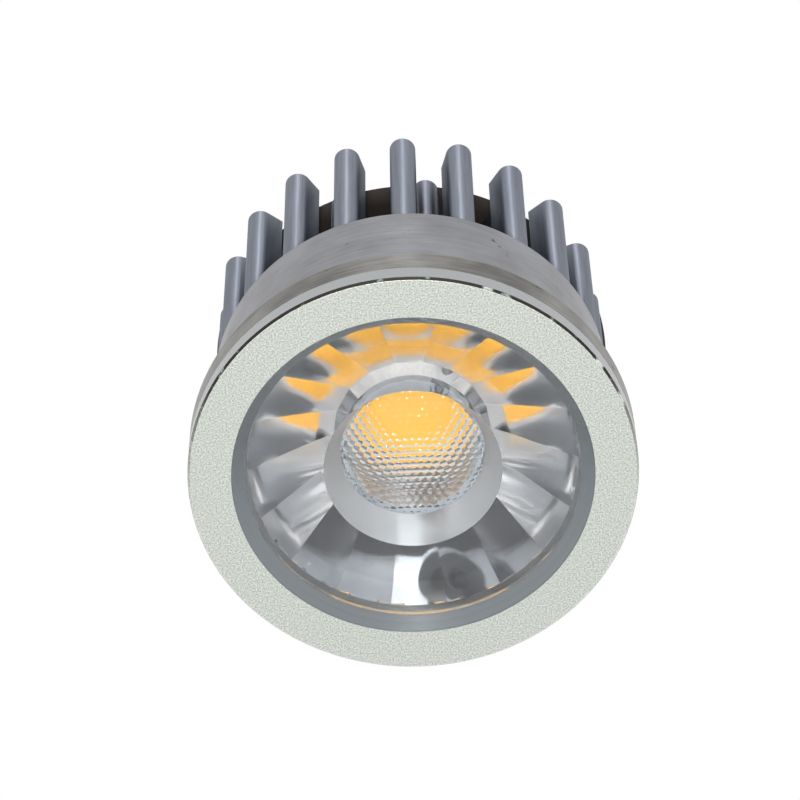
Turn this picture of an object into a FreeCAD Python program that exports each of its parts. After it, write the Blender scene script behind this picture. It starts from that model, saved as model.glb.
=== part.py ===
import FreeCAD, Part
import os
import Sketcher

# Recessed-lamp LED module, 50 mm across: a cold-forged pin-fin heatsink with a turned rim,
# a blasted front ring, a clear fluted lens and the light source on the cup's floor.
# Millimetres, +Z up. The module stands on its pin tips, with the lens upwards, and the
# origin is the centre of the plane through the tips.

SIZES = [
    # Heatsink
    ("rim_radius", 25.0),
    ("rim_depth", 3.6),
    ("rim_edge_break", 0.2),
    ("mouth_wall", 3.7),
    ("mouth_depth", 4.6),
    ("mouth_step", 1.1),
    ("barrel_wall", 2.45),
    ("barrel_length", 14.25),
    ("base_thickness", 2.5),
    ("pin_length", 19.75),
    ("pin_width", 3.0),
    ("pin_depth", 3.6),
    ("outer_pin_inset", 0.05),
    ("outer_pin_count", 20),
    ("inner_pin_count", 10),
    ("pin_ring_spacing", 5.35),
    ("inner_pin_angle", 9.0),
    # Front ring
    ("ring_thickness", 2.4),
    ("ring_edge_break", 0.3),
    ("ring_face_width", 4.82),
    ("ring_cone_depth", 1.43),
    ("ring_lip_thickness", 0.6),
    ("ring_skirt_depth", 4.2),
    ("ring_skirt_wall", 1.4),
    ("thread_gap", 0.1),
    # Lens
    ("lens_flange_gap", 0.2),
    ("lens_flange_depth", 1.6),
    ("lens_facets", 18),
    ("lens_flange_overhang", 1.4),
    ("lens_foot_width", 1.2),
    ("flank_low_radius", 11.5),
    ("flank_middle_radius", 13.85),
    ("flank_high_radius", 16.05),
    ("recess_top_radius", 9.95),
    ("recess_foot_radius", 8.1),
    ("recess_depth", 3.85),
    ("cavity_gap", 0.3),
    ("lens_web", 1.3),
    # Light source on its carrier
    ("thermal_pad_thickness", 0.25),
    ("board_margin", 0.2),
    ("board_thickness", 1.0),
    ("board_angle", 15.0),
    ("dam_radius", 7.3),
    ("dam_width", 0.7),
    ("dam_height", 0.5),
    ("phosphor_drop", 0.1),
    ("solder_radius", 0.8),
    ("solder_height", 0.35),
    ("solder_gap", 1.1),
    # Holder that clamps the carrier and carries the lens
    ("holder_margin", 0.45),
    ("holder_ledge", 0.5),
    ("holder_dam_gap", 0.2),
    ("holder_board_gap", 0.1),
    ("wire_window_radius", 1.6),
    # Screws of the holder
    ("screw_from_lens", 3.0),
    ("screw_radius", 1.0),
    ("screw_head_radius", 1.75),
    ("screw_head_height", 1.1),
    ("screw_bite", 1.6),
    ("screw_point_gap", 0.3),
    ("screw_hole_gap", 0.1),
    ("tap_gap", 0.02),
    # Cable bush
    ("bush_from_wall", 3.7),
    ("bush_angle", 279.0),
    ("bush_radius", 2.2),
    ("bush_bore_radius", 1.3),
    ("bush_flange_radius", 2.7),
    ("bush_flange_thickness", 0.8),
    ("bush_gap", 0.05),
    ("bush_notch_gap", 0.35),
]

# Heights that several pieces share, as sums of the named sizes
BASE_TOP = "Size.pin_length + Size.base_thickness"
BARREL_TOP = "Size.pin_length + Size.barrel_length"
RIM_TOP = BARREL_TOP + " + Size.rim_depth"
FACE = RIM_TOP + " + Size.ring_thickness"
CONE_FOOT = FACE + " - Size.ring_cone_depth"
LENS_TOP = CONE_FOOT + " - Size.ring_lip_thickness"
BOARD_FOOT = BASE_TOP + " + Size.thermal_pad_thickness"
BOARD_TOP = BOARD_FOOT + " + Size.board_thickness"
LENS_FOOT = BOARD_TOP + " + Size.holder_ledge"
FLANGE_FOOT = LENS_TOP + " - Size.lens_flange_depth"

# Radii that several pieces share, from the rim inwards
MOUTH = "Size.rim_radius - Size.mouth_wall"
CUP = MOUTH + " - Size.mouth_step"
BARREL = CUP + " + Size.barrel_wall"
OUTER_NOSE = BARREL + " - Size.outer_pin_inset"
INNER_NOSE = BARREL + " - Size.pin_ring_spacing"
OPENING = "Size.rim_radius - Size.ring_face_width"
LIP = OPENING + " - Size.ring_cone_depth"
SKIRT_BORE = MOUTH + " - Size.thread_gap - Size.ring_skirt_wall"
LENS_RADIUS = SKIRT_BORE + " - Size.lens_flange_gap"
FLANK_TOP = LENS_RADIUS + " - Size.lens_flange_overhang"
BOARD_SIDE = "2 * (Size.dam_radius + Size.board_margin)"
SOLDER_CIRCLE = "Size.dam_radius + Size.solder_gap + Size.solder_radius"
APERTURE = "Size.dam_radius + Size.holder_dam_gap"
CAVITY = "Size.dam_radius + Size.cavity_gap"
FLANK_FOOT = CAVITY + " + Size.lens_foot_width"
SCREW_CIRCLE = FLANK_FOOT + " + Size.screw_from_lens"
HOLDER_RADIUS = SCREW_CIRCLE + " + Size.screw_head_radius + Size.holder_margin"
BUSH_CIRCLE = CUP + " - Size.bush_from_wall"


def add_sheet(doc):
    sheet = doc.addObject("Spreadsheet::Sheet", "Size")
    for row, (name, value) in enumerate(SIZES, start=1):
        sheet.set("A%d" % row, name)
        sheet.set("B%d" % row, str(value))
        sheet.setAlias("B%d" % row, name)
    doc.recompute()
    return sheet


def add_body(doc, node):
    body = doc.addObject("PartDesign::Body", node)
    body.Label = node
    return body


def origin_part(body, role):
    for feature in body.Origin.OriginFeatures:
        if feature.Role == role:
            return feature


def add_sketch(body, name, role):
    sketch = body.newObject("Sketcher::SketchObject", name)
    sketch.AttachmentSupport = [(origin_part(body, role), "")]
    sketch.MapMode = "FlatFace"
    return sketch


def bind(sketch, kind, first, point, expression, value):
    row = sketch.addConstraint(Sketcher.Constraint(kind, -1, 1, first, point, value))
    sketch.setExpression("Constraints[%d]" % row, expression)


def outline(sketch, corners):
    # Closed outline of straight edges. Each corner is (distance from the axis, height).
    # The corners start on a circle and take their places from the expressions.
    count = len(corners)
    spots = []
    for index in range(count):
        turn = FreeCAD.Rotation(FreeCAD.Vector(0, 0, 1), 360.0 * index / count)
        spots.append(FreeCAD.Vector(30, 30, 0) + turn.multVec(FreeCAD.Vector(12, 0, 0)))
    for index in range(count):
        sketch.addGeometry(Part.LineSegment(spots[index], spots[(index + 1) % count]), False)
    for index in range(count):
        following = (index + 1) % count
        sketch.addConstraint(Sketcher.Constraint("Coincident", index, 2, following, 1))
    for index, (across, up) in enumerate(corners):
        if across is None:
            sketch.addConstraint(Sketcher.Constraint("PointOnObject", index, 1, -2))
        else:
            bind(sketch, "DistanceX", index, 1, across, spots[index].x)
        bind(sketch, "DistanceY", index, 1, up, spots[index].y)


def round_at(sketch, across, radius):
    # Circle whose centre is on the sketch's first axis
    row = sketch.addGeometry(Part.Circle(FreeCAD.Vector(8, 0, 0), FreeCAD.Vector(0, 0, 1), 1.0), False)
    if across is None:
        sketch.addConstraint(Sketcher.Constraint("Coincident", row, 3, -1, 1))
    else:
        sketch.addConstraint(Sketcher.Constraint("PointOnObject", row, 3, -1))
        bind(sketch, "DistanceX", row, 3, across, 8.0)
    size = sketch.addConstraint(Sketcher.Constraint("Radius", row, 1.0))
    sketch.setExpression("Constraints[%d]" % size, radius)


def lift(sketch, height, angle=None):
    sketch.setExpression("AttachmentOffset.Base.z", height)
    if angle:
        sketch.AttachmentOffset = FreeCAD.Placement(
            FreeCAD.Vector(0, 0, 0), FreeCAD.Rotation(FreeCAD.Vector(0, 0, 1), 1.0))
        sketch.setExpression("AttachmentOffset.Rotation.Angle", angle)


def revolve(body, name, sketch):
    turned = body.newObject("PartDesign::Revolution", name)
    turned.Profile = sketch
    turned.ReferenceAxis = (sketch, ["V_Axis"])
    turned.Angle = 360.0
    body.Tip = turned
    return turned


def pad(body, name, sketch, length):
    raised = body.newObject("PartDesign::Pad", name)
    raised.Profile = sketch
    raised.setExpression("Length", length)
    body.Tip = raised
    return raised


def pocket(body, name, sketch, length, upwards=False):
    sunk = body.newObject("PartDesign::Pocket", name)
    sunk.Profile = sketch
    sunk.setExpression("Length", length)
    sunk.Reversed = upwards
    body.Tip = sunk
    return sunk


def polar(body, name, feature, count):
    pattern = body.newObject("PartDesign::PolarPattern", name)
    pattern.Originals = [feature]
    pattern.Axis = (origin_part(body, "Z_Axis"), [""])
    pattern.Angle = 360.0
    if isinstance(count, str):
        pattern.setExpression("Occurrences", count)
    else:
        pattern.Occurrences = count
    body.Tip = pattern
    return pattern


def pin_outline(sketch, nose_radius):
    # Plan of one pin: straight flanks, a half-round nose outwards and a flat inner end
    low = Part.LineSegment(FreeCAD.Vector(14, -1.5, 0), FreeCAD.Vector(16, -1.5, 0))
    nose = Part.ArcOfCircle(
        Part.Circle(FreeCAD.Vector(16, 0, 0), FreeCAD.Vector(0, 0, 1), 1.5), -1.5708, 1.5708)
    high = Part.LineSegment(FreeCAD.Vector(16, 1.5, 0), FreeCAD.Vector(14, 1.5, 0))
    end = Part.LineSegment(FreeCAD.Vector(14, 1.5, 0), FreeCAD.Vector(14, -1.5, 0))
    for edge in (low, nose, high, end):
        sketch.addGeometry(edge, False)
    sketch.addConstraint(Sketcher.Constraint("Tangent", 0, 2, 1, 1))
    sketch.addConstraint(Sketcher.Constraint("Tangent", 1, 2, 2, 1))
    sketch.addConstraint(Sketcher.Constraint("Coincident", 2, 2, 3, 1))
    sketch.addConstraint(Sketcher.Constraint("Coincident", 3, 2, 0, 1))
    sketch.addConstraint(Sketcher.Constraint("Horizontal", 0))
    sketch.addConstraint(Sketcher.Constraint("Horizontal", 2))
    sketch.addConstraint(Sketcher.Constraint("Vertical", 3))
    sketch.addConstraint(Sketcher.Constraint("PointOnObject", 1, 3, -1))
    bind(sketch, "DistanceX", 1, 3, nose_radius + " - Size.pin_width / 2", 16.0)
    bind(sketch, "DistanceX", 2, 2, nose_radius + " - Size.pin_depth", 14.0)
    size = sketch.addConstraint(Sketcher.Constraint("Radius", 1, 1.5))
    sketch.setExpression("Constraints[%d]" % size, "Size.pin_width / 2")


def make_heatsink(doc):
    # One forged aluminium piece: turned rim and barrel, thick base plate, pins below it
    body = add_body(doc, "heatsink")
    section = add_sketch(body, "HeatsinkSection", "XZ_Plane")
    outline(section, [
        (None, "Size.pin_length"),
        (BARREL, "Size.pin_length"),
        (BARREL, BARREL_TOP),
        ("Size.rim_radius - Size.rim_edge_break", BARREL_TOP),
        ("Size.rim_radius", BARREL_TOP + " + Size.rim_edge_break"),
        ("Size.rim_radius", RIM_TOP),
        (MOUTH, RIM_TOP),
        (MOUTH, RIM_TOP + " - Size.mouth_depth"),
        (CUP, RIM_TOP + " - Size.mouth_depth"),
        (CUP, BASE_TOP),
        (None, BASE_TOP),
    ])
    revolve(body, "HeatsinkTurned", section)
    for name, nose, count, angle in (
            ("Outer", OUTER_NOSE, "Size.outer_pin_count", None),
            ("Inner", INNER_NOSE, "Size.inner_pin_count", "Size.inner_pin_angle")):
        plan = add_sketch(body, name + "PinPlan", "XY_Plane")
        if angle:
            plan.AttachmentOffset = FreeCAD.Placement(
                FreeCAD.Vector(0, 0, 0), FreeCAD.Rotation(FreeCAD.Vector(0, 0, 1), 1.0))
            plan.setExpression("AttachmentOffset.Rotation.Angle", angle)
        pin_outline(plan, nose)
        pin = pad(body, name + "Pin", plan, "Size.pin_length")
        polar(body, name + "Pins", pin, count)
        doc.recompute()
    cable = add_sketch(body, "CableHolePlan", "XY_Plane")
    lift(cable, "Size.pin_length", "Size.bush_angle")
    round_at(cable, BUSH_CIRCLE, "Size.bush_radius + Size.bush_gap")
    pocket(body, "CableHole", cable, "Size.base_thickness", upwards=True)
    taps = add_sketch(body, "ScrewHolePlan", "XY_Plane")
    lift(taps, BASE_TOP, "Size.board_angle")
    round_at(taps, SCREW_CIRCLE, "Size.screw_radius + Size.tap_gap")
    tapped = pocket(body, "ScrewHole", taps, "Size.screw_bite + Size.screw_point_gap")
    polar(body, "ScrewHoles", tapped, 2)
    return body


def make_front_ring(doc):
    # Blasted face ring: its lip holds the lens and its skirt screws into the heatsink's mouth
    body = add_body(doc, "front_ring")
    section = add_sketch(body, "RingSection", "XZ_Plane")
    skirt = MOUTH + " - Size.thread_gap"
    outline(section, [
        (OPENING, FACE),
        ("Size.rim_radius - Size.ring_edge_break", FACE),
        ("Size.rim_radius", FACE + " - Size.ring_edge_break"),
        ("Size.rim_radius", RIM_TOP),
        (skirt, RIM_TOP),
        (skirt, RIM_TOP + " - Size.ring_skirt_depth"),
        (SKIRT_BORE, RIM_TOP + " - Size.ring_skirt_depth"),
        (SKIRT_BORE, LENS_TOP),
        (LIP, LENS_TOP),
        (LIP, CONE_FOOT),
    ])
    revolve(body, "RingTurned", section)
    return body


def make_lens(doc):
    # Clear moulded collimator: flat annular face, central recess, cavity over the light
    # source, and a bowl-shaped flank divided into facets with four bands each, one of the
    # facets towards +Y
    body = add_body(doc, "lens")
    section = add_sketch(body, "LensSection", "XZ_Plane")
    crest = "(" + FLANK_TOP + ") / cos(180 deg / Size.lens_facets)"
    recess_foot = LENS_TOP + " - Size.recess_depth"
    cavity_top = recess_foot + " - Size.lens_web"
    outline(section, [
        (None, cavity_top),
        (CAVITY, cavity_top),
        (CAVITY, LENS_FOOT),
        (crest, LENS_FOOT),
        (crest, FLANGE_FOOT),
        (LENS_RADIUS, FLANGE_FOOT),
        (LENS_RADIUS, LENS_TOP),
        ("Size.recess_top_radius", LENS_TOP),
        ("Size.recess_foot_radius", recess_foot),
        (None, recess_foot),
    ])
    revolve(body, "LensTurned", section)
    doc.recompute()
    waste = add_sketch(body, "FacetWaste", "YZ_Plane")
    # Inner edge of the waste: the line that one facet's bands follow from foot to flange
    rise = " + (%s - (%s)) / 4" % (FLANGE_FOOT, LENS_FOOT)
    outline(waste, [
        (FLANK_FOOT, LENS_FOOT),
        ("Size.flank_low_radius", LENS_FOOT + rise),
        ("Size.flank_middle_radius", LENS_FOOT + rise + " * 2"),
        ("Size.flank_high_radius", LENS_FOOT + rise + " * 3"),
        (FLANK_TOP, FLANGE_FOOT),
        ("Size.rim_radius", FLANGE_FOOT),
        ("Size.rim_radius", LENS_FOOT),
    ])
    facet = pocket(body, "Facet", waste, "2 * Size.rim_radius")
    facet.Midplane = True
    polar(body, "Facets", facet, "Size.lens_facets")
    return body


def make_holder(doc):
    # White moulded ring: pocket for the carrier below, ledge for the lens's foot on top
    body = add_body(doc, "lens_holder")
    section = add_sketch(body, "HolderSection", "XZ_Plane")
    outline(section, [
        (APERTURE, BASE_TOP),
        (HOLDER_RADIUS, BASE_TOP),
        (HOLDER_RADIUS, LENS_FOOT),
        (APERTURE, LENS_FOOT),
    ])
    revolve(body, "HolderTurned", section)
    seat = add_sketch(body, "BoardPocketPlan", "XY_Plane")
    lift(seat, BASE_TOP, "Size.board_angle")
    square(seat, BOARD_SIDE + " + 2 * Size.holder_board_gap")
    pocket(body, "BoardPocket", seat, "Size.thermal_pad_thickness + Size.board_thickness", upwards=True)
    doc.recompute()
    holes = add_sketch(body, "HolderScrewPlan", "XY_Plane")
    lift(holes, BASE_TOP, "Size.board_angle")
    round_at(holes, SCREW_CIRCLE, "Size.screw_radius + Size.screw_hole_gap")
    hole = pocket(body, "HolderScrewHole", holes, LENS_FOOT, upwards=True)
    polar(body, "HolderScrewHoles", hole, 2)
    doc.recompute()
    windows = add_sketch(body, "WireWindowPlan", "XY_Plane")
    lift(windows, BASE_TOP, "Size.board_angle + 45")
    round_at(windows, SOLDER_CIRCLE, "Size.wire_window_radius")
    window = pocket(body, "WireWindow", windows, LENS_FOOT, upwards=True)
    polar(body, "WireWindows", window, 2)
    doc.recompute()
    notch = add_sketch(body, "BushNotchPlan", "XY_Plane")
    lift(notch, BASE_TOP, "Size.bush_angle")
    round_at(notch, BUSH_CIRCLE, "Size.bush_flange_radius + Size.bush_notch_gap")
    pocket(body, "BushNotch", notch, LENS_FOOT, upwards=True)
    return body


def square(sketch, side):
    # Square round the sketch's origin
    corners = [FreeCAD.Vector(-8, -8, 0), FreeCAD.Vector(8, -8, 0),
               FreeCAD.Vector(8, 8, 0), FreeCAD.Vector(-8, 8, 0)]
    for index in range(4):
        sketch.addGeometry(Part.LineSegment(corners[index], corners[(index + 1) % 4]), False)
    for index in range(4):
        sketch.addConstraint(Sketcher.Constraint("Coincident", index, 2, (index + 1) % 4, 1))
    for index in (0, 2):
        sketch.addConstraint(Sketcher.Constraint("Horizontal", index))
    for index in (1, 3):
        sketch.addConstraint(Sketcher.Constraint("Vertical", index))
    sketch.addConstraint(Sketcher.Constraint("Equal", 0, 1))
    sketch.addConstraint(Sketcher.Constraint("Symmetric", 0, 1, 1, 2, -1, 1))
    size = sketch.addConstraint(Sketcher.Constraint("Distance", 0, 16.0))
    sketch.setExpression("Constraints[%d]" % size, side)


def make_board(doc):
    # Square carrier of the light source
    body = add_body(doc, "led_board")
    plan = add_sketch(body, "BoardPlan", "XY_Plane")
    lift(plan, BOARD_FOOT, "Size.board_angle")
    square(plan, BOARD_SIDE)
    pad(body, "BoardPlate", plan, "Size.board_thickness")
    return body


def make_thermal_pad(doc):
    # Soft heat-conducting sheet between the carrier and the base plate
    body = add_body(doc, "thermal_pad")
    plan = add_sketch(body, "ThermalPadPlan", "XY_Plane")
    lift(plan, BASE_TOP, "Size.board_angle")
    square(plan, BOARD_SIDE)
    pad(body, "ThermalPadSheet", plan, "Size.thermal_pad_thickness")
    return body


def make_dam(doc):
    # White ring round the light-emitting area
    body = add_body(doc, "led_dam")
    section = add_sketch(body, "DamSection", "XZ_Plane")
    inner = "Size.dam_radius - Size.dam_width"
    outline(section, [
        (inner, BOARD_TOP),
        ("Size.dam_radius", BOARD_TOP),
        ("Size.dam_radius", BOARD_TOP + " + Size.dam_height"),
        (inner, BOARD_TOP + " + Size.dam_height"),
    ])
    revolve(body, "DamTurned", section)
    return body


def make_phosphor(doc):
    # Yellow cast disc inside the dam
    disc = doc.addObject("Part::Cylinder", "led_phosphor")
    disc.Label = "led_phosphor"
    disc.setExpression("Radius", "Size.dam_radius - Size.dam_width")
    disc.setExpression("Height", "Size.dam_height - Size.phosphor_drop")
    disc.setExpression("Placement.Base.z", BOARD_TOP)
    return disc


def offset_revolve(body, name, sketch, across):
    # Revolution round a centre line that lies off the module's axis
    line = Part.LineSegment(FreeCAD.Vector(20, 5, 0), FreeCAD.Vector(20, 10, 0))
    row = sketch.addGeometry(line, True)
    sketch.addConstraint(Sketcher.Constraint("Vertical", row))
    bind(sketch, "DistanceX", row, 1, across, 20.0)
    bind(sketch, "DistanceY", row, 1, "Size.pin_length", 5.0)
    sketch.addConstraint(Sketcher.Constraint("DistanceY", row, 1, row, 2, 5.0))
    turned = body.newObject("PartDesign::Revolution", name)
    turned.Profile = sketch
    turned.ReferenceAxis = (sketch, ["Axis0"])
    turned.Angle = 360.0
    body.Tip = turned
    return turned


def turn_body(body, angle):
    body.Placement = FreeCAD.Placement(
        FreeCAD.Vector(0, 0, 0), FreeCAD.Rotation(FreeCAD.Vector(0, 0, 1), 1.0))
    body.setExpression("Placement.Rotation.Angle", angle)


def make_solder(doc):
    # Two solder domes on the carrier's opposite corners
    body = add_body(doc, "solder_joints")
    body.AllowCompound = True
    section = add_sketch(body, "SolderSection", "XZ_Plane")
    outline(section, [
        (SOLDER_CIRCLE, BOARD_TOP),
        (SOLDER_CIRCLE + " + Size.solder_radius", BOARD_TOP),
        (SOLDER_CIRCLE + " + Size.solder_radius / 2", BOARD_TOP + " + Size.solder_height"),
        (SOLDER_CIRCLE, BOARD_TOP + " + Size.solder_height"),
    ])
    dome = offset_revolve(body, "SolderDome", section, SOLDER_CIRCLE)
    polar(body, "SolderDomes", dome, 2)
    turn_body(body, "Size.board_angle + 45")
    return body


def make_screws(doc):
    # Two pan-head screws that hold the holder to the base plate
    body = add_body(doc, "holder_screws")
    body.AllowCompound = True
    section = add_sketch(body, "ScrewSection", "XZ_Plane")
    head = LENS_FOOT + " + Size.screw_head_height"
    outline(section, [
        (SCREW_CIRCLE, BASE_TOP + " - Size.screw_bite"),
        (SCREW_CIRCLE + " + Size.screw_radius", BASE_TOP + " - Size.screw_bite"),
        (SCREW_CIRCLE + " + Size.screw_radius", LENS_FOOT),
        (SCREW_CIRCLE + " + Size.screw_head_radius", LENS_FOOT),
        (SCREW_CIRCLE + " + Size.screw_head_radius", head),
        (SCREW_CIRCLE, head),
    ])
    screw = offset_revolve(body, "Screw", section, SCREW_CIRCLE)
    polar(body, "Screws", screw, 2)
    turn_body(body, "Size.board_angle")
    return body


def make_bush(doc):
    # Rubber bush that lines the cable hole in the base plate
    body = add_body(doc, "cable_bush")
    section = add_sketch(body, "BushSection", "XZ_Plane")
    below = "Size.pin_length - Size.bush_flange_thickness"
    above = BASE_TOP + " + Size.bush_flange_thickness"
    outline(section, [
        ("Size.bush_bore_radius", below),
        ("Size.bush_flange_radius", below),
        ("Size.bush_flange_radius", "Size.pin_length"),
        ("Size.bush_radius", "Size.pin_length"),
        ("Size.bush_radius", BASE_TOP),
        ("Size.bush_flange_radius", BASE_TOP),
        ("Size.bush_flange_radius", above),
        ("Size.bush_bore_radius", above),
    ])
    revolve(body, "BushTurned", section)
    body.setExpression("Placement.Base.x", "(" + BUSH_CIRCLE + ") * cos(Size.bush_angle * 1 deg)")
    body.setExpression("Placement.Base.y", "(" + BUSH_CIRCLE + ") * sin(Size.bush_angle * 1 deg)")
    return body


def check(doc, pieces):
    doc.recompute()
    for item in doc.Objects:
        for word in ("Invalid", "Error"):
            if word in item.State:
                raise RuntimeError("%s is %s" % (item.Name, item.State))
    for piece in pieces:
        if piece.Shape.isNull() or not piece.Shape.isValid():
            raise RuntimeError("%s has no valid shape" % piece.Label)


def main():
    doc = FreeCAD.newDocument("led_module")
    add_sheet(doc)
    pieces = [
        make_heatsink(doc),
        make_front_ring(doc),
        make_lens(doc),
        make_holder(doc),
        make_board(doc),
        make_thermal_pad(doc),
        make_dam(doc),
        make_phosphor(doc),
        make_solder(doc),
        make_screws(doc),
        make_bush(doc),
    ]
    check(doc, pieces)
    os.makedirs("parts", exist_ok=True)
    for piece in pieces:
        piece.Shape.exportStep("parts/%s.step" % piece.Label)


main()
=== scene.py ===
import math

import bmesh
import bpy
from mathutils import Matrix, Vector


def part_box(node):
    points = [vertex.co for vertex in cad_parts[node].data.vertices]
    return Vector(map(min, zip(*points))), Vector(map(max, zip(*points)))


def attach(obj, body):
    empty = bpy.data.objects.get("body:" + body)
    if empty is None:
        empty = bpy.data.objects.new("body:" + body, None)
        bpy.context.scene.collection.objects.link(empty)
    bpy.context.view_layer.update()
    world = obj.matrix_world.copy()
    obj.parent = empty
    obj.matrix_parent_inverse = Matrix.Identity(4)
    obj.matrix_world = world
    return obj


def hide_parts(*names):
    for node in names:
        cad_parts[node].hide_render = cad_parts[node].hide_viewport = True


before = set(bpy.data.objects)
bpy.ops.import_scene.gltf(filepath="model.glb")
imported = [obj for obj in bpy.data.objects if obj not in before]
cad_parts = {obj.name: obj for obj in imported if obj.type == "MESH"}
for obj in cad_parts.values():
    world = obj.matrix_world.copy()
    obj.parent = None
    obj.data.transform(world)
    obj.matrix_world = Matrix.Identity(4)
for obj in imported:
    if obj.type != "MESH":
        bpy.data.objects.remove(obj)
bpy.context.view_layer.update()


# Heatsink: one piece of cold-forged aluminium, left plain. The pins keep the faint draw marks
# of the forging die; barrel and rim are turned on a lathe afterwards, which leaves fine broken
# rings round them, a few dark nicks and a browner, coarser cut on the rim.
def linear(hexa):
    """The linear colour of an sRGB hex number, with full alpha."""
    parts = [int(hexa[i:i + 2], 16) / 255 for i in (0, 2, 4)]
    return [p / 12.92 if p <= 0.04045 else ((p + 0.055) / 1.055) ** 2.4 for p in parts] + [1.0]


def add_node(tree, kind, inputs=None, **settings):
    """Adds a shader node; an input is a value or another node's output socket."""
    made = tree.nodes.new("ShaderNode" + kind)
    for key, value in settings.items():
        setattr(made, key, value)
    for key, value in (inputs or {}).items():
        if isinstance(value, bpy.types.NodeSocket):
            tree.links.new(value, made.inputs[key])
        else:
            made.inputs[key].default_value = value
    return made


def add_material(name, **sockets):
    """A new material, its tree and its Principled node with the given socket values."""
    made = bpy.data.materials.new(name)
    made.use_nodes = True
    skin = made.node_tree.nodes["Principled BSDF"]
    for key, value in sockets.items():
        skin.inputs[key.replace("_", " ")].default_value = value
    return made, made.node_tree, skin


def mottle(tree, pattern, low, high, dark, pale):
    """Colours a surface dark where its pattern is low and pale where it is high."""
    share = add_node(tree, "MapRange", {"Value": pattern, "From Min": low, "From Max": high}).outputs[0]
    return add_node(tree, "MixRGB", {0: share, 1: linear(dark), 2: linear(pale)}).outputs[0]


def dress(name, made):
    """Gives a CAD node's object one material."""
    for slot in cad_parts[name].material_slots:
        slot.material = made


# Where one finish ends and the next starts, in metres
pin_end, rim_foot = 0.0197, 0.0339
cup_wall, cup_floor = 0.0214, 0.0215
forged, tree, skin = add_material("forged_and_turned_aluminium", Metallic=1.0, Anisotropic=0.9,
                                  Anisotropic_Rotation=0.25)
place = add_node(tree, "TexCoord").outputs["Object"]
axes = add_node(tree, "SeparateXYZ", {0: place})
turned = add_node(tree, "Math", {0: axes.outputs["Z"], 1: pin_end}, operation="GREATER_THAN").outputs[0]
rim = add_node(tree, "Math", {0: axes.outputs["Z"], 1: rim_foot}, operation="GREATER_THAN").outputs[0]
# Lathe marks 0.2 mm apart, drawn coarser than real ones so that they show
along = add_node(tree, "VectorMath", {0: place, 1: (0.03, 0.03, 1.0)}, operation="MULTIPLY").outputs[0]
marks = add_node(tree, "TexNoise", {"Vector": along, "Scale": 5200.0, "Detail": 4.0,
                                    "Roughness": 0.75}).outputs[0]
bands = add_node(tree, "TexNoise", {"Vector": place, "Scale": 160.0, "Detail": 2.0}).outputs[0]
both = add_node(tree, "Math", {0: marks, 1: bands}, operation="ADD").outputs[0]
both = add_node(tree, "Math", {0: both, 1: 0.5}, operation="MULTIPLY").outputs[0]
barrel_colour = mottle(tree, both, 0.34, 0.62, "7C7C7F", "9A9B9F")
rim_colour = mottle(tree, both, 0.38, 0.6, "656360", "94938F")
# Draw marks down the pins, 0.4 mm wide
down = add_node(tree, "VectorMath", {0: place, 1: (1.0, 1.0, 0.03)}, operation="MULTIPLY").outputs[0]
draws = add_node(tree, "TexNoise", {"Vector": down, "Scale": 2600.0, "Detail": 4.0,
                                    "Roughness": 0.7}).outputs[0]
pin_colour = mottle(tree, draws, 0.3, 0.7, "757A84", "898E99")
turned_colour = add_node(tree, "MixRGB", {0: rim, 1: barrel_colour, 2: rim_colour}).outputs[0]
# Inside the cup the same turned aluminium is painted much paler than the barrel: painted light,
# standing in for the light that reaches the cup through the lens. It has no handling marks
flat = add_node(tree, "CombineXYZ", {0: axes.outputs["X"], 1: axes.outputs["Y"]})
reach = add_node(tree, "VectorMath", {0: flat.outputs[0]}, operation="LENGTH").outputs["Value"]
narrow = add_node(tree, "Math", {0: reach, 1: cup_wall}, operation="LESS_THAN").outputs[0]
above = add_node(tree, "Math", {0: axes.outputs["Z"], 1: cup_floor}, operation="GREATER_THAN").outputs[0]
cup = add_node(tree, "Math", {0: narrow, 1: above}, operation="MULTIPLY").outputs[0]
cup_painted_light = mottle(tree, both, 0.36, 0.62, "D6D8D8", "ECEDEC")
turned_colour = add_node(tree, "MixRGB", {0: cup, 1: turned_colour, 2: cup_painted_light}).outputs[0]
metal_colour = add_node(tree, "MixRGB", {0: turned, 1: pin_colour, 2: turned_colour}).outputs[0]
# Nicks and scuffs from handling, up to 1 mm long, few and dark
nicks = add_node(tree, "TexNoise", {"Vector": place, "Scale": 420.0, "Detail": 5.0,
                                    "Roughness": 0.7}).outputs[0]
nicks = add_node(tree, "MapRange", {"Value": nicks, "From Min": 0.665, "From Max": 0.7}).outputs[0]
nicks = add_node(tree, "Math", {0: nicks, 1: turned}, operation="MULTIPLY").outputs[0]
nicks = add_node(tree, "Math", {0: nicks, 1: cup}, operation="SUBTRACT", use_clamp=True).outputs[0]
worn = add_node(tree, "MixRGB", {0: nicks, 1: metal_colour, 2: linear("3B3936")}).outputs[0]
tree.links.new(worn, skin.inputs["Base Color"])
sheen = add_node(tree, "MapRange", {"Value": turned, "To Min": 0.48, "To Max": 0.27}).outputs[0]
tree.links.new(sheen, skin.inputs["Roughness"])
relief = add_node(tree, "MixRGB", {0: turned, 1: draws, 2: marks}).outputs[0]
bump = add_node(tree, "Bump", {"Height": relief, "Strength": 0.25, "Distance": 0.00002})
tree.links.new(bump.outputs[0], skin.inputs["Normal"])
dress("heatsink", forged)

# Cable bush: a black rubber grommet that snaps into a hole of the cup's floor and guards the
# edge of the hole.
rubber, tree, skin = add_material("black_rubber", Roughness=0.6)
place = add_node(tree, "TexCoord").outputs["Object"]
bloom = add_node(tree, "TexNoise", {"Vector": place, "Scale": 1400.0, "Detail": 3.0}).outputs[0]
tree.links.new(mottle(tree, bloom, 0.35, 0.7, "101010", "222221"), skin.inputs["Base Color"])
dress("cable_bush", rubber)

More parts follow.
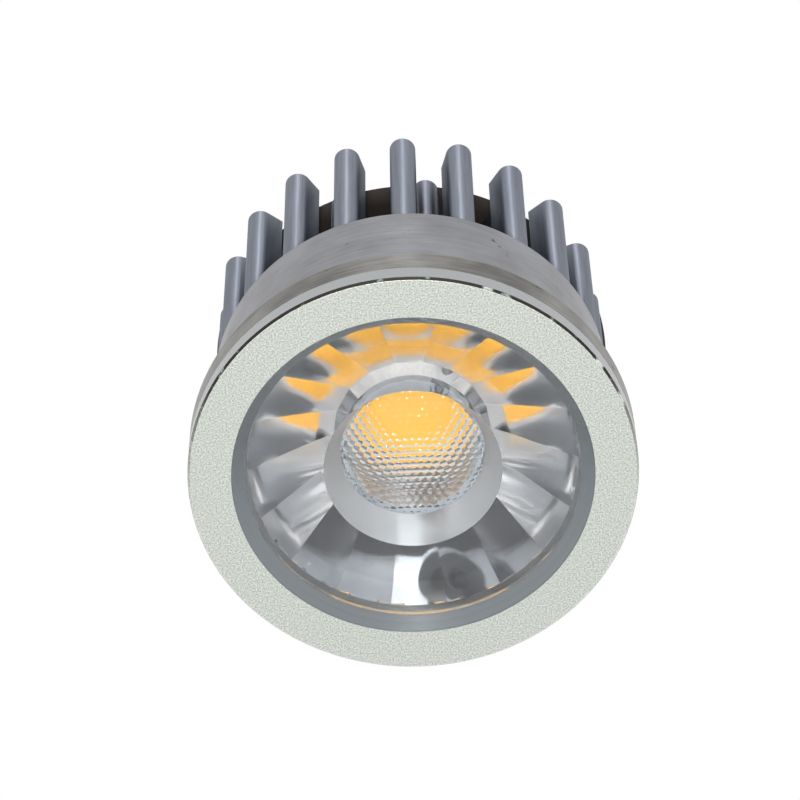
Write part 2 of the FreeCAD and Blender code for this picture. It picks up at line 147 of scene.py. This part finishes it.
# Thermal pad: a soft grey sheet, silicone filled with ceramic powder, which is cut to the
# carrier's outline and pressed between it and the cup's floor.
pad, tree, skin = add_material("filled_silicone_sheet", Roughness=0.75)
place = add_node(tree, "TexCoord").outputs["Object"]
powder = add_node(tree, "TexNoise", {"Vector": place, "Scale": 5000.0, "Detail": 2.0}).outputs[0]
tree.links.new(mottle(tree, powder, 0.4, 0.62, "7E8388", "A0A5A9"), skin.inputs["Base Color"])
dress("thermal_pad", pad)

# LED carrier: a square of milky white ceramic with a glazed top, fired and cut to size. The
# holder clamps it at its edges, over the thermal pad.
ceramic, tree, skin = add_material("white_ceramic", Roughness=0.32)
place = add_node(tree, "TexCoord").outputs["Object"]
clouds = add_node(tree, "TexNoise", {"Vector": place, "Scale": 700.0, "Detail": 3.0}).outputs[0]
tree.links.new(mottle(tree, clouds, 0.35, 0.65, "D2D4D4", "E2E3E2"), skin.inputs["Base Color"])
dress("led_board", ceramic)

# Dam: a bead of white silicone, laid by a needle round the light-emitting disc and cured. It
# keeps the disc's poured filling in.
silicone, tree, skin = add_material("white_silicone", Roughness=0.35)
place = add_node(tree, "TexCoord").outputs["Object"]
flow = add_node(tree, "TexNoise", {"Vector": place, "Scale": 900.0, "Detail": 2.0}).outputs[0]
tree.links.new(mottle(tree, flow, 0.3, 0.7, "E2E1DC", "F0EFEB"), skin.inputs["Base Color"])
dress("led_dam", silicone)

# Light-emitting disc: clear silicone filled with phosphor powder, poured inside the dam.
# Daylight makes the powder glow deep yellow by itself; here it is given a faint glow of its own,
# painted light that does not depend on the lamps, so it looks brighter than any paint.
phosphor, tree, skin = add_material("phosphor_silicone", Roughness=0.4, Emission_Strength=0.2)
place = add_node(tree, "TexCoord").outputs["Object"]
grains = add_node(tree, "TexNoise", {"Vector": place, "Scale": 2600.0, "Detail": 3.0}).outputs[0]
powder = mottle(tree, grains, 0.35, 0.65, "FFB010", "FFBE18")
tree.links.new(powder, skin.inputs["Base Color"])
# Colour of the disc's painted glow
skin.inputs["Emission Color"].default_value = linear("FFBC00")
dress("led_phosphor", phosphor)

# Solder joints: two rounded beads of tin solder on opposite corners of the carrier. They are
# set by hand and cool with a slightly frosted skin.
tin, tree, skin = add_material("tin_solder", Metallic=1.0, Roughness=0.28)
place = add_node(tree, "TexCoord").outputs["Object"]
frost = add_node(tree, "TexNoise", {"Vector": place, "Scale": 3000.0, "Detail": 3.0}).outputs[0]
tree.links.new(mottle(tree, frost, 0.35, 0.7, "A9ACAF", "D0D2D4"), skin.inputs["Base Color"])
dress("solder_joints", tin)

# Lens holder: an injection-moulded ring that clamps the carrier and carries the lens's foot.
# Its lip round the light is white and the rest is black.
lip_radius = 0.0110
holder, tree, skin = add_material("moulded_plastic", Roughness=0.3)
place = add_node(tree, "TexCoord").outputs["Object"]
axes = add_node(tree, "SeparateXYZ", {0: place})
flat = add_node(tree, "CombineXYZ", {0: axes.outputs["X"], 1: axes.outputs["Y"]})
reach = add_node(tree, "VectorMath", {0: flat.outputs[0]}, operation="LENGTH").outputs["Value"]
lip = add_node(tree, "Math", {0: reach, 1: lip_radius}, operation="LESS_THAN").outputs[0]
moulded = add_node(tree, "TexNoise", {"Vector": place, "Scale": 2400.0, "Detail": 2.0}).outputs[0]
black = mottle(tree, moulded, 0.3, 0.7, "0E0F10", "191A1B")
white = mottle(tree, moulded, 0.3, 0.7, "D6D6D3", "E4E4E1")
two_tone = add_node(tree, "MixRGB", {0: lip, 1: black, 2: white}).outputs[0]
tree.links.new(two_tone, skin.inputs["Base Color"])
dress("lens_holder", holder)

# Holder screws: two pan-head screws of zinc-plated steel, cold-headed, driven through the
# holder into the cup's floor.
zinc, tree, skin = add_material("zinc_plated_steel", Metallic=1.0, Roughness=0.35)
place = add_node(tree, "TexCoord").outputs["Object"]
plating = add_node(tree, "TexNoise", {"Vector": place, "Scale": 2000.0, "Detail": 3.0}).outputs[0]
tree.links.new(mottle(tree, plating, 0.35, 0.7, "82858A", "B4B6BA"), skin.inputs["Base Color"])
dress("holder_screws", zinc)

# Lens: clear acrylic, injection moulded in one piece. It is a collimator: light from the disc
# enters the cavity under it, and the flank throws it forwards by total reflection. The flank
# is divided into facets, flat across, and the recess's floor is moulded as close-packed beads.
low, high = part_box("lens")
foot = low[2] * 1000 + 0.06
face = high[2] * 1000
lens_radius = 19.6
flange_foot = face - 1.6
flank_foot = 8.8
focus = 23.6
cavity_foot, cavity_top, cavity_height = 7.7, 7.5, 8.8
recess_top, recess_floor, recess_depth = 9.95, 8.1, 3.85
crown = 0.3
acrylic = 1.49

# The flank's slope at each height: the tangent halves the angle between the lens's axis and
# the light that comes from the light-emitting disc's edge through the cavity's wall. Towards
# the flange it opens up to 8 degrees more, which was chosen.
flank = [(flank_foot, foot)]
across, height = flank_foot, foot
rise = 0.05
while height < flange_foot - 1e-6:
    rise = min(rise, flange_foot - height)
    shallow, steep = 0.0, math.radians(80)
    for _ in range(40):
        guess = (shallow + steep) / 2
        bent = math.asin(math.sin(guess) / acrylic)
        if cavity_foot * math.tan(guess) + (across - cavity_foot) * math.tan(bent) < height - focus:
            shallow = guess
        else:
            steep = guess
    opening = math.radians(8.0) * ((height - foot) / (flange_foot - foot)) ** 3
    across += rise * math.tan((math.pi / 2 - bent) / 2 + opening)
    height += rise
    flank.append((across, height))

# The lens's outline from the middle of the recess outwards, down the flank and back to the
# middle of the cavity under it
outline = []
for step in range(101):
    across = recess_floor * step / 100
    outline.append((across, face - recess_depth + crown * (1 - (across / recess_floor) ** 2)))
for step in range(1, 7):
    share = step / 6
    outline.append((recess_floor + (recess_top - recess_floor) * share, face - recess_depth * (1 - share)))
outline += [(14.0, face), (lens_radius, face), (lens_radius, flange_foot)]
outline += [(flank[-1][0] + 0.3, flange_foot)] + flank[::-6] + [flank[0]]
for step in range(1, 7):
    share = step / 6
    outline.append((cavity_foot - (cavity_foot - cavity_top) * share, foot + cavity_height * share))
for step in range(1, 25):
    across = cavity_top * (1 - step / 24)
    outline.append((across, foot + cavity_height + crown * (1 - (across / cavity_top) ** 2)))

mesh = bmesh.new()
verts = [mesh.verts.new((across / 1000, 0, height / 1000)) for across, height in outline]
edges = [mesh.edges.new(pair) for pair in zip(verts[:-1], verts[1:])]
bmesh.ops.spin(mesh, geom=verts + edges, cent=(0, 0, 0), axis=(0, 0, 1), dvec=(0, 0, 0),
               angle=2 * math.pi, steps=450, use_merge=True, use_duplicate=False)
bmesh.ops.remove_doubles(mesh, verts=mesh.verts, dist=1e-7)

# Eighteen facets, each flat across, and beads in rows like a honeycomb
facet_width = 20
pitch, bead_radius, bead_height = 0.85, 0.49, 0.13
row_pitch = pitch * math.sqrt(3) / 2
for vert in mesh.verts:
    x, y, z = vert.co * 1000
    across = math.hypot(x, y)
    if across > recess_floor + 0.6 and foot - 0.001 < z < flange_foot - 0.001:
        if z < face - recess_depth or across > recess_top + 1:
            offset = math.degrees(math.atan2(y, x)) % facet_width - facet_width / 2
            grow = 1 / math.cos(math.radians(offset))
            vert.co.x *= grow
            vert.co.y *= grow
    elif face - recess_depth - 0.01 < z < face - recess_depth + 0.4 and across < recess_floor - 0.05:
        nearest = pitch
        row = y / row_pitch
        for j in (math.floor(row), math.floor(row) + 1):
            shift = (j % 2) * pitch / 2
            i = round((x - shift) / pitch)
            nearest = min(nearest, math.hypot(x - shift - i * pitch, y - j * row_pitch))
        bead = bead_height * (1 - (nearest / bead_radius) ** 2) * min(1, (recess_floor - across) / 0.3)
        vert.co.z += bead / 1000
bmesh.ops.recalc_face_normals(mesh, faces=mesh.faces)
lens_mesh = bpy.data.meshes.new("lens_clear")
mesh.to_mesh(lens_mesh)
mesh.free()

# Polished acrylic for the face and cavity, satin from the mould on the recess's wall, and a
# trace of mould texture, which scatters a little cool light, on the facets and the beads
clear, tree, skin = add_material("clear_acrylic", Transmission_Weight=1.0, Roughness=0.0, IOR=acrylic)
skin.inputs["Base Color"].default_value = (1, 1, 1, 1)
# At each face a third of a lamp's light goes straight on to what lies below, because a render
# can't find a small lamp through refracting faces
rays = add_node(tree, "LightPath")
passing = add_node(tree, "BsdfTransparent", {"Color": (0.35, 0.35, 0.35, 1)})
pick = add_node(tree, "MixShader", {0: rays.outputs["Is Shadow Ray"], 1: skin.outputs[0],
                                    2: passing.outputs[0]})
tree.links.new(pick.outputs[0], tree.nodes["Material Output"].inputs["Surface"])
lens_mesh.materials.append(clear)
for name, roughness, transmission, tint in (
        ("satin_acrylic", 0.35, 0.75, (1, 1, 1, 1)),
        ("faceted_acrylic", 0.1, 0.92, (0.86, 0.92, 1, 1)),
        ("beaded_acrylic", 0.0, 0.94, (0.88, 0.94, 1, 1))):
    finish = clear.copy()
    finish.name = name
    skin = finish.node_tree.nodes["Principled BSDF"]
    skin.inputs["Roughness"].default_value = roughness
    skin.inputs["Transmission Weight"].default_value = transmission
    skin.inputs["Base Color"].default_value = tint
    lens_mesh.materials.append(finish)
satin, faceted, beaded = 1, 2, 3
for piece in lens_mesh.polygons:
    piece.use_smooth = True
    middle = piece.center * 1000
    across = math.hypot(middle.x, middle.y)
    beside_recess = recess_floor + 0.6 < across < lens_radius - 0.2
    if recess_floor < across < recess_top and face - recess_depth + 0.01 < middle.z < face - 0.01:
        piece.material_index = satin
    elif beside_recess and foot + 0.01 < middle.z < flange_foot - 0.01:
        piece.material_index = faceted
    elif across < recess_floor and middle.z > face - recess_depth - 0.01:
        piece.material_index = beaded
lens_mesh.set_sharp_from_angle(angle=math.radians(8))
lens = bpy.data.objects.new("lens_clear", lens_mesh)
bpy.context.collection.objects.link(lens)
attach(lens, "root")
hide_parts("lens")

# Front ring: turned aluminium that screws into the rim and holds the lens down. Its face is
# blasted with fine grit and clear anodised, faintly green; the opening's cone and the outer
# band are cut afterwards and stay smooth. Where the cut meets the face a ragged dark line is drawn, full on
# the +Y side and fading out towards -Y.
opening, band_radius, skirt_top = 0.02017, 0.02496, 0.0385
edge_line_foot, edge_line_radius = 0.03968, 0.02474
blasted, tree, skin = add_material("blasted_and_anodised_aluminium", Metallic=0.8)
place = add_node(tree, "TexCoord").outputs["Object"]
axes = add_node(tree, "SeparateXYZ", {0: place})
flat = add_node(tree, "CombineXYZ", {0: axes.outputs["X"], 1: axes.outputs["Y"]})
reach = add_node(tree, "VectorMath", {0: flat.outputs[0]}, operation="LENGTH").outputs["Value"]
cone = add_node(tree, "Math", {0: reach, 1: opening}, operation="LESS_THAN").outputs[0]
outer = add_node(tree, "Math", {0: reach, 1: band_radius}, operation="GREATER_THAN").outputs[0]
# Grit dimples 0.2 mm across
grit = add_node(tree, "TexNoise", {"Vector": place, "Scale": 5200.0, "Detail": 2.0,
                                   "Roughness": 0.6}).outputs[0]
face_colour = mottle(tree, grit, 0.32, 0.68, "B4BBB1", "F4F8F2")
# Lathe marks of the cone and the outer band, 0.15 mm apart
along = add_node(tree, "CombineXYZ", {0: reach, 1: axes.outputs["Z"]}).outputs[0]
marks = add_node(tree, "TexNoise", {"Vector": along, "Scale": 7000.0, "Detail": 4.0,
                                    "Roughness": 0.7}).outputs[0]
cone_colour = mottle(tree, marks, 0.3, 0.7, "757A7E", "8E9397")
# The skirt under the cone, behind the lens, is painted much paler than the cone's same turned
# metal: painted light, standing in for the light that reaches it through the lens
skirt = add_node(tree, "Math", {0: axes.outputs["Z"], 1: skirt_top}, operation="LESS_THAN").outputs[0]
cone_colour = add_node(tree, "MixRGB", {0: skirt, 1: cone_colour, 2: linear("D8DADA")}).outputs[0]
band_colour = mottle(tree, marks, 0.35, 0.65, "9DA0A1", "ABAEAF")
colour = add_node(tree, "MixRGB", {0: cone, 1: face_colour, 2: cone_colour}).outputs[0]
colour = add_node(tree, "MixRGB", {0: outer, 1: colour, 2: band_colour}).outputs[0]
# A dark line on the edge break, ragged every 2 mm, full on the +Y side and fading out towards -Y
above = add_node(tree, "Math", {0: axes.outputs["Z"], 1: edge_line_foot}, operation="GREATER_THAN").outputs[0]
beyond = add_node(tree, "Math", {0: reach, 1: edge_line_radius}, operation="GREATER_THAN").outputs[0]
dark_edge_line = add_node(tree, "Math", {0: above, 1: beyond}, operation="MULTIPLY").outputs[0]
side = add_node(tree, "MapRange", {"Value": axes.outputs["Y"], "From Min": -0.004,
                                   "From Max": 0.012}).outputs[0]
dark_edge_line = add_node(tree, "Math", {0: dark_edge_line, 1: side}, operation="MULTIPLY").outputs[0]
ragged = add_node(tree, "TexNoise", {"Vector": place, "Scale": 500.0, "Detail": 4.0}).outputs[0]
ragged = add_node(tree, "MapRange", {"Value": ragged, "From Min": 0.3, "From Max": 0.42}).outputs[0]
dark_edge_line = add_node(tree, "Math", {0: dark_edge_line, 1: ragged}, operation="MULTIPLY").outputs[0]
colour = add_node(tree, "MixRGB", {0: dark_edge_line, 1: colour, 2: linear("35312D")}).outputs[0]
tree.links.new(colour, skin.inputs["Base Color"])
smooth = add_node(tree, "Math", {0: cone, 1: outer}, operation="MAXIMUM").outputs[0]
rough = add_node(tree, "MapRange", {"Value": smooth, "To Min": 0.5, "To Max": 0.27}).outputs[0]
tree.links.new(rough, skin.inputs["Roughness"])
dimples = add_node(tree, "MixRGB", {0: smooth, 1: grit, 2: marks}).outputs[0]
bump = add_node(tree, "Bump", {"Height": dimples, "Strength": 0.35, "Distance": 0.00004})
tree.links.new(bump.outputs[0], skin.inputs["Normal"])
dress("front_ring", blasted)

# Floor: white paper, a twentieth of a millimetre under the pin tips. It keeps the module's
# shadow, which the softbox throws to the back, and inside a capsule drawn round that shadow the
# paper is painted dark too, a painted shadow; beyond the capsule it is as white as the background.
shadow_radius, shadow_front, shadow_back = 0.0234, -0.007, -0.017
bpy.ops.mesh.primitive_plane_add(size=4.0, location=(0, 0, -0.00005))
floor = bpy.context.object
floor.name = "floor"
paper, tree, skin = add_material("white_paper_with_painted_shadow", Roughness=0.9)
floor.data.materials.append(paper)
place = add_node(tree, "TexCoord").outputs["Object"]
axes = add_node(tree, "SeparateXYZ", {0: place})
back = add_node(tree, "Clamp", {"Value": axes.outputs["Y"], "Min": shadow_back,
                                "Max": shadow_front}).outputs[0]
from_back = add_node(tree, "Math", {0: axes.outputs["Y"], 1: back}, operation="SUBTRACT").outputs[0]
flat = add_node(tree, "CombineXYZ", {0: axes.outputs["X"], 1: from_back})
reach = add_node(tree, "VectorMath", {0: flat.outputs[0]}, operation="LENGTH").outputs["Value"]
open_floor = add_node(tree, "Math", {0: reach, 1: shadow_radius}, operation="GREATER_THAN").outputs[0]
# Inside the capsule the paper's colour is a painted shadow, dark brown-grey
paper_and_painted_shadow = add_node(tree, "MixRGB", {0: open_floor, 1: linear("544C47"), 2: linear("E8E8E8")}).outputs[0]
tree.links.new(paper_and_painted_shadow, skin.inputs["Base Color"])
rays = add_node(tree, "LightPath")
seen = add_node(tree, "Math", {0: rays.outputs["Is Glossy Ray"], 1: rays.outputs["Is Transmission Ray"]},
                operation="MAXIMUM").outputs[0]
seen = add_node(tree, "Math", {0: seen, 1: rays.outputs["Is Camera Ray"]}, operation="MAXIMUM").outputs[0]
backdrop = add_node(tree, "Math", {0: open_floor, 1: seen}, operation="MULTIPLY").outputs[0]
white = add_node(tree, "Emission", {"Color": (1, 1, 1, 1), "Strength": 1.0})
pick = add_node(tree, "MixShader", {0: backdrop, 1: skin.outputs[0], 2: white.outputs[0]})
tree.links.new(pick.outputs[0], tree.nodes["Material Output"].inputs["Surface"])

# World: an even pale room. The camera, metal and glass see a white backdrop that turns pale
# grey overhead; everything else is lit by a soft white that comes mostly from above.
world = bpy.data.worlds.new("studio")
bpy.context.scene.world = world
world.use_nodes = True
sky = world.node_tree
up = add_node(sky, "SeparateXYZ", {0: add_node(sky, "TexCoord").outputs["Generated"]}).outputs["Z"]
overhead = add_node(sky, "MapRange", {"Value": up, "From Min": 0.5, "From Max": 0.8,
                                      "To Min": 1.0, "To Max": 0.45}).outputs[0]
rays = add_node(sky, "LightPath")
seen = add_node(sky, "Math", {0: rays.outputs["Is Glossy Ray"], 1: rays.outputs["Is Transmission Ray"]},
                operation="MAXIMUM").outputs[0]
seen = add_node(sky, "Math", {0: seen, 1: rays.outputs["Is Camera Ray"]}, operation="MAXIMUM").outputs[0]
soft = sky.nodes["Background"]
soft.inputs["Color"].default_value = (1, 1, 1, 1)
lit = add_node(sky, "MapRange", {"Value": up, "From Min": 0.2, "From Max": 0.9,
                                 "To Min": 0.03, "To Max": 0.85}).outputs[0]
sky.links.new(lit, soft.inputs["Strength"])
backdrop = add_node(sky, "Background", {"Color": (1, 1, 1, 1), "Strength": overhead})
pick = add_node(sky, "MixShader", {0: seen, 1: soft.outputs[0], 2: backdrop.outputs[0]})
sky.links.new(pick.outputs[0], sky.nodes["World Output"].inputs["Surface"])

# Lamps: a small softbox above the camera and a narrow strip light low in front, both a metre
# away. The strip light draws a pale line down the turned barrel where it is seen from the side.
for name, elevation, sideways, width, length, power in (
        ("softbox", 70.4, -0.012, 0.15, 0.15, 6.0), ("strip_light", 8.0, -0.01, 0.04, 0.5, 4.2)):
    angle = math.radians(elevation)
    towards = Vector((sideways, math.cos(angle), math.sin(angle))).normalized()
    lamp = bpy.data.lights.new(name, "AREA")
    lamp.shape = "RECTANGLE"
    lamp.size, lamp.size_y = width, length
    lamp.energy = power
    stand = bpy.data.objects.new(name, lamp)
    stand.location = towards
    stand.rotation_euler = towards.to_track_quat("Z", "Y").to_euler()
    bpy.context.collection.objects.link(stand)

# Camera: stands on the +Y side, 29 degrees off the lens's axis, as in the photograph
camera = bpy.data.objects.new("camera", bpy.data.cameras.new("camera"))
camera.data.lens = 177.3
camera.data.sensor_width = 36.0
camera.data.clip_start = 0.01
camera.location = (0.003684, 0.220337, 0.416429)
camera.rotation_euler = [math.radians(angle) for angle in (-29.196, -0.527, -2.243)]
bpy.context.collection.objects.link(camera)
bpy.context.scene.camera = camera
bpy.context.scene.view_settings.view_transform = "Standard"
